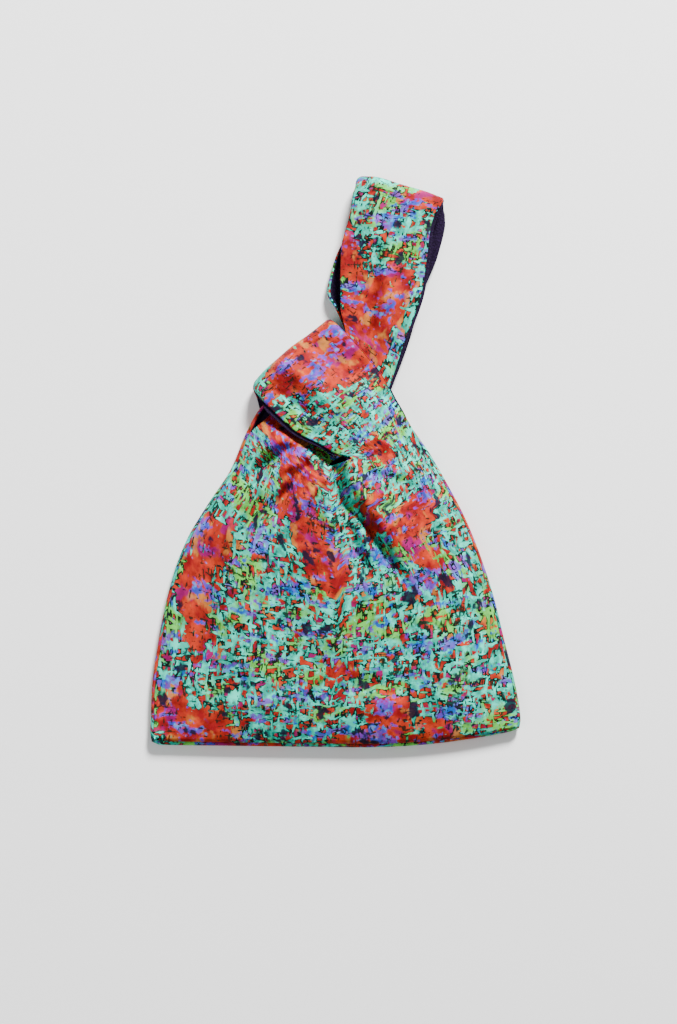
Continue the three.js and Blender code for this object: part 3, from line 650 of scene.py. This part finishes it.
def pouch_half(strip, rows):
    """Points and seam directions of one half of the pouch, from the side in to the middle."""
    sign = 1 if strip.is_long else -1
    side = 1 if strip.is_front else -1
    points = front_points(strip, rows, SPREAD) if strip.is_front else back_body(strip, rows)
    fixed = np.full(points.shape, np.nan)
    steps = np.array([-EDGE_STEP, EDGE_STEP])
    at = np.maximum(rows, EDGE_STEP)
    out = square_out([strip.edge(0, at + step) for step in steps], -sign)
    width = strip.width(np.zeros(1))[:, None]
    shares = SPREAD if strip.is_front else back_spread(width[0])[0] / width[0]
    shares = np.clip(shares, EDGE_STEP, 1 - EDGE_STEP)
    hem = [strip.points(np.zeros(1), (shares + step) * width)[0, :, :2] for step in steps]
    below = square_out(hem, sign)
    corner = (out[0] + below[0]) / (1 + out[0] @ below[0])
    out[0] = below[0] = corner
    points[:, 0, 2] = points[0, :, 2] = SEAM_HEIGHT
    corner_point = points[0, 0].copy()
    points[:, 0], fixed[:, 0] = sewn(points[:, 0], out, side)
    points[0, 0] = corner_point
    points[0], fixed[0] = sewn(points[0], below, side)
    round_hem_corner(strip, points)
    return points, fixed


def corner_setback(distance, radius):
    """How far a rounded corner stands back: radius less the height of its circle over the edge."""
    inside = np.clip(radius - distance, 0, radius)
    return radius - np.sqrt(radius**2 - inside**2)


def handle(strip, seam_height):
    """Points and seam directions of a handle, from past the neckline to its rounded, sewn end."""
    rows = handle_rows(strip, seam_height)
    points = front_points(strip, rows, SPREAD) if strip.is_front else back_points(strip, rows)
    points[..., 2] = turned_over(strip, rows, points[..., 2], seam_height)
    ends = np.array([strip.end - END_REACH / BODY_SPAN, strip.end])
    near_end = smooth_step((rows - ends[0]) / (ends[1] - ends[0]))[:, None]
    width = np.linalg.norm(points[:, :1, :2] - points[:, -1:, :2], axis=-1)
    share = np.linalg.norm(points[..., :2] - points[:, :1, :2], axis=-1) / width
    bulge = limited_cubic(NODES, np.array(END_BULGES[strip.is_long], float), share)
    bulge = bulge - corner_setback(share * width, END_CORNERS[strip.is_long][0])
    bulge = bulge - corner_setback((1 - share) * width, END_CORNERS[strip.is_long][1])
    points[..., :2] += (near_end * bulge)[..., None] * strip.heading()
    side = 1 if strip.is_front else -1
    points[-1, :, 2] = seam_height + side * SEAM_GAP / 2
    fixed = np.full(points.shape, np.nan)
    end = np.array([strip.end])
    out = square_out([strip.edge(0, end), strip.edge(1, end)], -1 if strip.is_long else 1)
    fixed[-1] = (*out[0], 0)
    return points, fixed, rows


def arc(points, axis):
    """Lengths of the lines through a grid of points along one of its axes, from its start."""
    steps = np.linalg.norm(np.diff(points, axis=axis), axis=-1)
    zero = np.zeros_like(np.take(steps, [0], axis))
    return np.concatenate([zero, np.cumsum(steps, axis)], axis)


def cut_places(points, sign, start):
    """Places on the flat cut piece: across from the inner edge, and up along the middle column."""
    across = arc(points[:, ::-1], 1)[:, ::-1] * -sign
    up = start + arc(points[:, COLUMNS // 2], 0)
    return np.stack([across, np.repeat(up[:, None], points.shape[1], 1)], -1)


def leaning(cut, along, sign, hem_width=None):
    """The print leans where the cloth is drawn in to the throat.

    Away from the middle it lies lower by a slope, and further out by a part of the width that has
    been lost since the hem. Both grow from the hem to the throat and fade out on the handle.
    """
    aside = np.abs(cut[..., 0])
    width = aside.max(1)
    top = cut[-1, 0, 1]
    if hem_width is None:
        hem_width = width[0]
        lost = hem_width - width
    else:
        lost = hem_width - width[0]
    grown = smooth_step(along) * (1 - smooth_step((along - 1) * BODY_SPAN / GRAIN_FADE))
    share = smooth_step(aside / width[:, None])
    leant = cut.copy()
    leant[..., 0] += sign * share * (GRAIN_LEAN * lost * grown)[:, None]
    leant[..., 1] -= GRAIN_SLOPE * grown[:, None] * aside
    return leant, top, hem_width


def build_skin(is_front):
    """Outer skin of a panel: both halves of the pouch, a bridge between them, and the handles."""
    rows = body_rows()
    which = 0 if is_front else 1
    long, short = STRIPS[True][which], STRIPS[False][which]
    left, left_fixed = pouch_half(long, rows)
    right, right_fixed = (part[:, ::-1] for part in pouch_half(short, rows))
    shares = (np.arange(BRIDGE_STEPS - 1) + 1)[:, None] / BRIDGE_STEPS
    bridge = left[:, -1:] + shares * (right[:, :1] - left[:, -1:])
    if is_front:
        rises = [pouch_rise(part[..., :2]) for part in (left[:, -1:], bridge, right[:, :1])]
        straight = rises[0] + shares[:, 0] * (rises[2] - rises[0])
        bridge[..., 2] += smooth_step(rows * BODY_SPAN / FOLD_FADE)[:, None] * (rises[1] - straight)
    bridge_fixed = np.full(bridge.shape, np.nan)
    bridge_fixed[0] = left_fixed[0, -1]
    left_cut, left_top, left_width = leaning(cut_places(left, 1, 0), rows, -1)
    right_cut, right_top, right_width = leaning(cut_places(right[:, ::-1], -1, 0), rows, 1)
    gap = np.linalg.norm(right[:, 0] - left[:, -1], axis=-1)
    right_cut = right_cut[:, ::-1] + np.stack([gap, 0 * gap], -1)[:, None]
    bridge_cut = left_cut[:, -1:] + shares * (right_cut[:, :1] - left_cut[:, -1:])
    parts = [(np.concatenate([left, bridge, right], 1),
              np.concatenate([left_fixed, bridge_fixed, right_fixed], 1),
              np.concatenate([left_cut, bridge_cut, right_cut], 1))]
    width = parts[0][0].shape[1]
    body_ids = np.arange(parts[0][0].size // 3).reshape(-1, width)
    grids, edges = [body_ids], []
    count = body_ids.size
    starts = [
        (long, body_ids[-1, :COLUMNS], LONG_SEAM_HEIGHT, left, left_top, left_width),
        (short, body_ids[-1, -COLUMNS:], SHORT_SEAM_HEIGHT, right[:, ::-1], right_top, right_width),
    ]
    for strip, base, seam_height, half, top, hem_width in starts:
        sign = 1 if strip.is_long else -1
        points, fixed, along = handle(strip, seam_height)
        joined = np.concatenate([half[-1:], points])
        cut = cut_places(joined, sign, top)
        cut = leaning(cut, np.concatenate([[1], along]), -sign, hem_width)[0][1:]
        cut = cut + (0 if strip.is_long else gap[-1], 0)
        if not strip.is_long:
            points, fixed, cut = points[:, ::-1], fixed[:, ::-1], cut[:, ::-1]
        ids = np.concatenate([base[None], count + np.arange(points.size // 3).reshape(-1, COLUMNS)])
        count += points.size // 3
        parts.append((points, fixed, cut))
        grids.append(ids)
        tip = np.clip((strip.end - along) * BODY_SPAN / LINING_TIP, 0, 1)
        shown = np.concatenate([[0], (1 - closedness(along)) * np.sqrt(1 - (1 - tip)**2)])
        for edge, inside in ((0, 1), (-1, -2)):
            inner = (edge == 0) != strip.is_long
            edges.append((ids[:, edge], ids[:, inside], shown, (strip.is_long, inner), edge == 0))
    points, fixed, cut = (np.concatenate([part[i].reshape(-1, part[i].shape[-1]) for part in parts])
                          for i in range(3))
    quads = np.concatenate([
        np.stack([ids[:-1, :-1], ids[:-1, 1:], ids[1:, 1:], ids[1:, :-1]], -1).reshape(-1, 4)
        for ids in grids])
    if not is_front:
        quads = quads[:, ::-1]
    return {"points": points, "fixed": fixed, "cut": cut, "quads": quads, "edges": edges,
            "is_front": is_front}


def edge_steps(faces):
    """All sides of the triangles, as pairs of ids in their turning direction."""
    return np.concatenate([faces[:, (0, 1)], faces[:, (1, 2)], faces[:, (2, 0)]])


def open_sides(faces, count):
    """The sides that only one triangle has."""
    steps = edge_steps(faces)
    forward = steps[:, 0].astype(np.int64) * count + steps[:, 1]
    backward = steps[:, 1].astype(np.int64) * count + steps[:, 0]
    return steps[~np.isin(forward, backward)]


def halved(quads, points):
    """Two triangles for each quad, cut along its shorter diagonal, without those of no area."""
    a, b, c, d = quads.T
    first_cut, second_cut = (np.linalg.norm(points[i] - points[j], axis=1) for i, j in ((a, c), (b, d)))
    straight = first_cut <= second_cut
    first = np.where(straight[:, None], np.stack([a, b, c], 1), np.stack([a, b, d], 1))
    second = np.where(straight[:, None], np.stack([a, c, d], 1), np.stack([b, c, d], 1))
    faces = np.concatenate([first, second])
    whole = (faces[:, 0] != faces[:, 1]) & (faces[:, 1] != faces[:, 2]) & (faces[:, 2] != faces[:, 0])
    return faces[whole]


def skin_directions(skin):
    """Normals: the sum of the crossed diagonals of the quads round each point, or the seam's own."""
    points, quads = skin["points"], skin["quads"]
    areas = np.cross(*(points[quads[:, i + 2]] - points[quads[:, i]] for i in (0, 1)))
    sums = np.zeros_like(points)
    for corner in range(4):
        np.add.at(sums, quads[:, corner], areas)
    own = np.isnan(skin["fixed"])
    return np.where(own, unit(sums), np.nan_to_num(skin["fixed"]))


def with_lining_edges(skin):
    """The lining goes past the silk at each open edge and curls up a little over it.

    Each new row of points is the edge moved outwards along the cloth by a share of the width that
    shows there, and lifted along the normal by the square of that share.
    """
    directions = skin_directions(skin)
    points, cuts, normals, quads = [skin["points"]], [skin["cut"]], [directions], [skin["quads"]]
    count = len(skin["points"])
    for ids, inside, shown, place, is_first in skin["edges"]:
        out = skin["points"][ids] - skin["points"][inside]
        normal = directions[ids]
        out = unit(out - (out * normal).sum(1, keepdims=True) * normal)
        near, far = PEEKS[(skin["is_front"], *place)]
        if near == far == 0:
            continue
        peek = (shown * np.linspace(near, far, len(ids)))[:, None]
        seen = shown > 0
        last = ids
        for step in range(1, PEEK_STEPS + 1):
            share = step / PEEK_STEPS
            moved = skin["points"][ids] + out * peek * share + normal * peek * LINING_CURL * share**2
            fresh = np.where(seen, count + np.cumsum(seen) - 1, ids)
            count += seen.sum()
            points.append(moved[seen])
            cuts.append(skin["cut"][ids][seen])
            normals.append(unit(normal - out * 2 * LINING_CURL * share)[seen])
            strip = np.stack([last[:-1], fresh[:-1], fresh[1:], last[1:]], 1)
            quads.append(strip[:, ::-1] if is_first == skin["is_front"] else strip)
            last = fresh
    return {"points": np.concatenate(points), "cut": np.concatenate(cuts),
            "fixed": np.concatenate(normals), "quads": np.concatenate(quads)}


def shell(skin, depth, wall):
    """Closed cloth: the skin moved in to two depths, joined by a round rim.

    At the rim both skins end a little inside the edge, and the points between them go round a half
    ellipse: half the wall times the cosine along the normal, and the bulge times the sine outwards.
    The bulge is half the wall at an open edge and less at a seam.
    """
    points, cut = skin["points"], skin["cut"]
    faces = halved(skin["quads"], points)
    normals = skin_directions(skin)
    count = len(points)
    sides = open_sides(faces, count)
    rim = sides[:, 0]
    after = np.zeros(count, int)
    before = np.zeros(count, int)
    after[sides[:, 0]] = sides[:, 1]
    before[sides[:, 1]] = sides[:, 0]
    along = unit(points[after[rim]] - points[before[rim]])
    outward = unit(np.cross(along, normals[rim]))
    radius = wall / 2
    sewn_here = ~np.isnan(skin["fixed"][rim, :1]) & (points[rim, 2:] < SEAM_TOP)
    bulge = np.where(sewn_here, SEAM_BULGE, radius)
    base = points.copy()
    base[rim] -= outward * bulge
    outer = base - normals * depth
    inner = base - normals * (depth + wall)
    centre = base[rim] - normals[rim] * (depth + radius)
    angles = np.pi * np.arange(1, RIM_STEPS) / RIM_STEPS
    round_rim = [centre + normals[rim] * radius * np.cos(angle) + outward * bulge * np.sin(angle)
                 for angle in angles]
    vertices = np.concatenate([outer, inner, *round_rim])
    cuts = np.concatenate([cut, cut, *[cut[rim]] * len(angles)])
    place = np.zeros(count, int)
    place[rim] = np.arange(len(rim))
    rings = [np.arange(count)] + [2 * count + k * len(rim) + place for k in range(len(angles))]
    rings.append(np.arange(count) + count)
    start, end = sides.T
    walls = [faces, faces[:, ::-1] + count]
    for upper, lower in zip(rings, rings[1:]):
        walls.append(np.stack([upper[end], upper[start], lower[start]], 1))
        walls.append(np.stack([upper[end], lower[start], lower[end]], 1))
    return vertices, np.concatenate(walls), cuts


def cloth_piece(name, node, shell_parts, shift, finish):
    """Makes a piece of cloth from its shell, with its cut places in centimetres as its UV map.

    No point lies below the table.
    """
    vertices, faces, cuts = shell_parts
    placed = vertices + shift
    placed[:, 2] = np.maximum(placed[:, 2], CAD_LOW[2])
    mesh = bpy.data.meshes.new(name)
    mesh.from_pydata((placed * MM).tolist(), [], faces.tolist())
    mesh.polygons.foreach_set("use_smooth", np.ones(len(faces), bool))
    layer = mesh.uv_layers.new(name="cut")
    layer.data.foreach_set("uv", (cuts[faces.ravel()] * CUT_SCALE).ravel().astype(np.float32))
    mesh.materials.append(finish)
    mesh.update()
    piece = bpy.data.objects.new(name, mesh)
    bpy.context.scene.collection.objects.link(piece)
    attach(piece, "root")
    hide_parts(node)
    return piece


class Reading:
    """A value in shader maths: an expression on readings adds its Math nodes."""

    def __init__(self, paint, socket):
        self.paint = paint
        self.socket = socket

    def math(self, operation, *others):
        values = [self, *others]
        node = self.paint.node("Math", {"operation": operation}, dict(enumerate(values)))
        return self.paint.out(node)

    def __add__(self, other):
        return self.math("ADD", other)

    def __sub__(self, other):
        return self.math("SUBTRACT", other)

    def __rsub__(self, other):
        return self.paint.out(self.paint.node("Math", {"operation": "SUBTRACT"}, {0: other, 1: self}))

    def __mul__(self, other):
        return self.math("MULTIPLY", other)

    __radd__ = __add__
    __rmul__ = __mul__

    def most(self, other):
        """The higher of two readings."""
        return self.math("MAXIMUM", other)

    def size(self):
        """The reading without its sign."""
        return self.math("ABSOLUTE")

    def ramp(self, low, high, start=0.0, end=1.0):
        """start below low, end above high, and a smooth step between."""
        ranges = {"Value": self, "From Min": low, "From Max": high, "To Min": start, "To Max": end}
        settings = {"interpolation_type": "SMOOTHSTEP"}
        return self.paint.out(self.paint.node("MapRange", settings, ranges))


class Paint:
    """A node material of one Principled shader."""

    def __init__(self, name, preview, **constants):
        self.material = bpy.data.materials.new(name)
        self.material.use_nodes = True
        self.material.diffuse_color = (*preview, 1)
        self.tree = self.material.node_tree
        self.shader = self.tree.nodes["Principled BSDF"]
        for socket, value in constants.items():
            self.shader.inputs[socket.replace("_", " ")].default_value = value

    def node(self, kind, settings=None, values=None):
        """A node of a type, with its settings and then the values or links of its sockets."""
        node = self.tree.nodes.new("ShaderNode" + kind)
        for key, value in (settings or {}).items():
            setattr(node, key, value)
        for key, value in (values or {}).items():
            self.feed(node.inputs[key], value)
        return node

    def feed(self, socket, value):
        """Links a reading or a socket to the socket, or sets it to a plain value."""
        if isinstance(value, Reading):
            value = value.socket
        if isinstance(value, bpy.types.NodeSocket):
            self.tree.links.new(value, socket)
        else:
            socket.default_value = value

    def out(self, node, name=0):
        """An output of a node as a reading."""
        return Reading(self, node.outputs[name])

    def moved(self, place, scale, shift):
        """The place scaled and shifted."""
        values = {"Vector": place, "Location": shift, "Scale": scale}
        return self.out(self.node("Mapping", {"vector_type": "POINT"}, values))

    def noise(self, place, scale, detail, roughness=0.5):
        """Noise from 0 to 1 at a place."""
        values = {"Vector": place, "Scale": scale, "Detail": detail, "Roughness": roughness}
        return self.out(self.node("TexNoise", {"noise_dimensions": "3D"}, values), "Fac")

    def mixed(self, factor, low, high):
        """Two colours mixed by a factor."""
        node = self.node("Mix", {"data_type": "RGBA"})
        self.feed(node.inputs[0], factor)
        for socket, value in zip((node.inputs[6], node.inputs[7]), (low, high)):
            self.feed(socket, (*value, 1) if isinstance(value, tuple) else value)
        return self.out(node, 2)

    def bump(self, height, distance):
        """A bump as high in metres as the distance where the height is 1."""
        return self.out(self.node("Bump", None, {"Height": height, "Distance": distance}))

    def finish(self, **sockets):
        """Feeds the shader's sockets, named with _ for a space, and gives the material."""
        for name, value in sockets.items():
            self.feed(self.shader.inputs[name.replace("_", " ")], value)
        return self.material


def silk_finish(name, layout):
    """Satin silk with a generic tweed-like print: a net of mint strokes over red, in cut places.

    Strokes that run across and strokes that run up are two stretched noises, and the net is where
    the higher of the two is above a level. The level is high where the red leads.
    """
    paint = Paint(name, (0.1, 0.4, 0.3), Specular_IOR_Level=0.04,
                  Sheen_Weight=0.02, Sheen_Roughness=0.4)
    place = paint.out(paint.node("UVMap", {"uv_map": "cut"}))
    place = paint.moved(place, (1, 1, 1), layout)

    def drift(scale, shift, detail=2.0, roughness=0.5):
        """Noise at a scale across and up, from a place of its own."""
        return paint.noise(paint.moved(place, (*scale, 1), (*shift, 0)), 1, detail, roughness)

    def tinted(colour, scale, shift, detail, stops, tint):
        """The colour, mixed with a tint where a drift is high."""
        return paint.mixed(drift(scale, shift, detail).ramp(*stops), colour, tint)

    # Net of strokes, and the level under which it is open
    strokes = drift((1.15, 3.3), (0, 0), 2, 0.36).most(drift((3.3, 1.15), (3.1, 7.7), 2, 0.36))
    zone = drift((0.14, 0.13), (6.1, 2.6), 1) * 0.7 + drift((0.45, 0.12), (8.3, 2.2), 1) * 0.17
    zone = zone + drift((0.12, 0.45), (2.3, 6.2), 1) * 0.13
    level = zone.ramp(0.505, 0.56, 0.488, 0.71)
    depth = level - strokes
    red_mask = depth.ramp(-0.002, 0.004)
    # Ground of mint with teal, pale and lime places
    ground = tinted(TEAL, (1.1, 1.1), (1.2, 3.4), 3, (0.42, 0.58), MINT)
    ground = tinted(ground, (0.33, 0.45), (2.7, 9.1), 3, (0.505, 0.6), LIME)
    ground = tinted(ground, (2.6, 2.6), (8.2, 1.4), 2, (0.6, 0.68, 0, 0.7), PALE_MINT)
    # Red from crimson to orange
    red = tinted(CRIMSON, (0.9, 0.9), (6.6, 0.4), 3, (0.38, 0.64), SCARLET)
    red = tinted(red, (0.6, 0.8), (1.6, 8.8), 3, (0.55, 0.64, 0, 0.85), MAGENTA)
    red = tinted(red, (0.8, 0.6), (4.9, 6.3), 3, (0.56, 0.66, 0, 0.8), ORANGE)
    colour = paint.mixed(red_mask, ground, red)
    # Blue and lilac washes with a broken edge
    cool = drift((0.35, 0.75), (4.4, 4.9), 3, 0.6) + drift((2.6, 2.6), (9.4, 0.9), 2) * 0.45
    blue = tinted(BLUE, (1.2, 1.2), (9.4, 3.9), 2, (0.4, 0.6), VIOLET)
    blue = tinted(blue, (2.2, 2.2), (3.4, 8.9), 2, (0.52, 0.66, 0, 0.8), AZURE)
    colour = paint.mixed(cool.ramp(0.775, 0.85, 0, 0.9), colour, blue)
    # Broken outlines round the openings, small dark marks along the strokes, and blots
    line = (depth + 0.032).size().ramp(0.024, 0.047, 1, 0)
    line_fade = drift((1.1, 1.1), (0.4, 6.1), 2).ramp(0.38, 0.52, 0.2, 1)
    colour = paint.mixed(line * line_fade, colour, OUTLINE_DARK)
    mark = drift((1.9, 5.0), (2.2, 5.5), 2, 0.45).most(drift((5.0, 1.9), (7.2, 2.5), 2, 0.45))
    mark = mark + drift((0.5, 0.4), (7.3, 3.3), 2) * 0.5
    colour = paint.mixed(mark.ramp(0.9, 0.92, 0, 0.9), colour, MARK_DARK)
    blot = drift((0.7, 0.55), (7.9, 5.2), 2) + drift((2.6, 2.6), (5.1, 1.1), 2) * 0.3
    colour = paint.mixed(blot.ramp(0.765, 0.83, 0, 0.95), colour, BLOT_DARK)
    # Fine unevenness of the colour, the cloth's small waves and its weave
    shade = drift((1.4, 1.4), (1, 2), 3).ramp(0.34, 0.66, 0.78, 1.2)
    colour = paint.out(paint.node("VectorMath", {"operation": "SCALE"}, {0: colour, "Scale": shade}))
    relief = paint.noise(place, 22, 2) * 0.25 + drift((1.3, 0.9), (0, 0), 2) * 1.4
    rough = drift((3, 3), (0, 0)).ramp(0.3, 0.7, 0.52, 0.62)
    return paint.finish(Base_Color=colour, Roughness=rough, Normal=paint.bump(relief, SILK_RELIEF))


def velvet_finish(name):
    """Short dark pile: a deep purple that varies, with a coarse nap and a faint sheen."""
    paint = Paint(name, (0.1, 0.05, 0.14), Roughness=0.9, Specular_IOR_Level=0.1,
                  Sheen_Weight=0.035, Sheen_Roughness=0.3)
    place = paint.out(paint.node("TexCoord"), "Object")
    nap = paint.noise(place, 900, 2)
    drift = paint.noise(place, 60, 3)
    colour = paint.mixed(drift, PILE_DEEP, PILE_PURPLE)
    colour = paint.mixed(nap.ramp(0.4, 0.75), colour, PILE_TIP)
    return paint.finish(Base_Color=colour, Normal=paint.bump(nap, PILE_RELIEF))


front_skin, back_skin = build_skin(True), build_skin(False)
all_points = np.concatenate([front_skin["points"], back_skin["points"]])
low, high = all_points.min(0), all_points.max(0)
SHIFT = np.array([*((CAD_LOW + CAD_HIGH - low - high) / 2)[:2], CAD_LOW[2] - low[2]])
silk_front = silk_finish("printed_silk_front", (0, 0, 0))
silk_back = silk_finish("printed_silk_back", (31, 17, 0))
velvet = velvet_finish("velvet_lining")
LINING_DEPTH = OUTER_WALL + LAYER_GAP
pieces = [
    cloth_piece("silk_front", "outer_front_panel",
                shell(front_skin, 0, OUTER_WALL), SHIFT, silk_front),
    cloth_piece("silk_back", "outer_back_panel",
                shell(back_skin, 0, OUTER_WALL), SHIFT, silk_back),
    cloth_piece("velvet_front", "lining_front_panel",
                shell(with_lining_edges(front_skin), LINING_DEPTH, LINING_WALL), SHIFT, velvet),
    cloth_piece("velvet_back", "lining_back_panel",
                shell(with_lining_edges(back_skin), LINING_DEPTH, LINING_WALL), SHIFT, velvet),
]

# Floor, light and camera
mesh = bpy.data.meshes.new("floor")
corners = [(x * FLOOR_HALF, y * FLOOR_HALF, 0) for x, y in ((-1, -1), (1, -1), (1, 1), (-1, 1))]
mesh.from_pydata(corners, [], [(0, 1, 2, 3)])
floor = bpy.data.objects.new("floor", mesh)
floor.location.z = -FLOOR_DROP
bpy.context.scene.collection.objects.link(floor)
floor_paint = Paint("pale_floor", FLOOR_PALE, Roughness=0.9)
mesh.materials.append(floor_paint.finish(Base_Color=(*FLOOR_PALE, 1)))

world = bpy.data.worlds.new("studio")
bpy.context.scene.world = world
world.use_nodes = True
world.node_tree.nodes["Background"].inputs["Color"].default_value = (1, 1, 1, 1)
world.node_tree.nodes["Background"].inputs["Strength"].default_value = SKY


def soft_light(name, place, size, power):
    """A square area light that looks at the bag."""
    data = bpy.data.lights.new(name, "AREA")
    data.size = size
    data.energy = power
    light = bpy.data.objects.new(name, data)
    light.location = place
    light.rotation_euler = (Vector(AIM) - Vector(place)).to_track_quat("-Z", "Y").to_euler()
    bpy.context.scene.collection.objects.link(light)


for name, place, size, power in LIGHTS:
    soft_light(name, place, size, power)

camera_data = bpy.data.cameras.new("camera")
camera_data.lens = CAMERA_LENS
camera_data.sensor_width = CAMERA_SENSOR
camera = bpy.data.objects.new("camera", camera_data)
camera.location = (AIM[0], AIM[1], CAMERA_HEIGHT)
bpy.context.scene.collection.objects.link(camera)
bpy.context.scene.camera = camera
